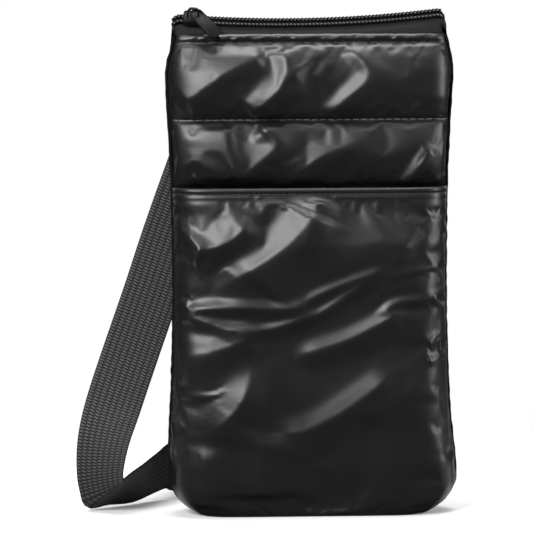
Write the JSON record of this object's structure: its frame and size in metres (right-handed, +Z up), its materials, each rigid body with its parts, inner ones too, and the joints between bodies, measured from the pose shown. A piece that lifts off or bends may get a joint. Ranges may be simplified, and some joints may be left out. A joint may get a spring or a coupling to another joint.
{
  "type": "puffer crossbody bag",
  "caption": "Small upright quilted zip bag with a front slip pocket, a boxed base and an adjustable webbing shoulder strap.",
  "frame": {"origin": "on the flat underside of the base, in the middle of its width and straight below the zip", "axes": "+Z up, +X to the viewer's right when facing the pocket, -Y out of the pocket's face"},
  "size_m": [0.1671, 0.0976, 0.2226],
  "materials": {
    "shell_fabric": "semi-gloss coated nylon",
    "wadding": "loose polyester wadding",
    "lining_fabric": "matte woven polyester",
    "seam_tape": "matte woven tape",
    "zip_tape": "matte knitted tape",
    "zip_coil": "satin nylon",
    "black_metal": "satin black paint",
    "webbing": "ribbed woven webbing",
    "black_plastic": "satin"
  },
  "bodies": {
    "bag": {"front_shell": "shell_fabric", "front_padding_1": "wadding", "front_padding_2": "wadding", "front_padding_3": "wadding", "front_lining": "lining_fabric", "pocket_shell": "shell_fabric", "pocket_hem": "shell_fabric", "pocket_padding": "wadding", "pocket_lining": "lining_fabric", "back_shell": "shell_fabric", "back_padding_1": "wadding", "back_padding_2": "wadding", "back_padding_3": "wadding", "back_padding_4": "wadding", "back_padding_5": "wadding", "back_padding_6": "wadding", "back_lining": "lining_fabric", "base_panel": "shell_fabric", "side_seam_left": "seam_tape", "side_seam_right": "seam_tape", "zip_tape_front": "zip_tape", "zip_tape_back": "zip_tape", "zip_coil_front": "zip_coil", "zip_coil_back": "zip_coil", "strap_webbing": "webbing", "anchor_tab": "webbing", "strap_ring": "black_metal"},
    "slider": {"slider_body": "black_metal"},
    "pull_tab": {"pull_tab": "black_metal"},
    "adjuster": {"strap_adjuster": "black_plastic"}
  },
  "joints": [
    {"name": "slider_travel", "type": "hinge", "parent": "bag", "child": "slider", "pos_m": [-0.01, 0, 0.7756], "axis": [0, -1, 0], "range_deg": [0, 10.12]},
    {"name": "pull_tab_flip", "type": "hinge", "parent": "slider", "child": "pull_tab", "pos_m": [-0.05051, -0.00328, 0.22098], "axis": [-0.7108, -0.563, -0.4217], "range_deg": [0, 160]},
    {"name": "adjuster_slide", "type": "slide", "parent": "bag", "child": "adjuster", "axis": [0, 0, 1], "range_m": [0, 0.07]}
  ]
}
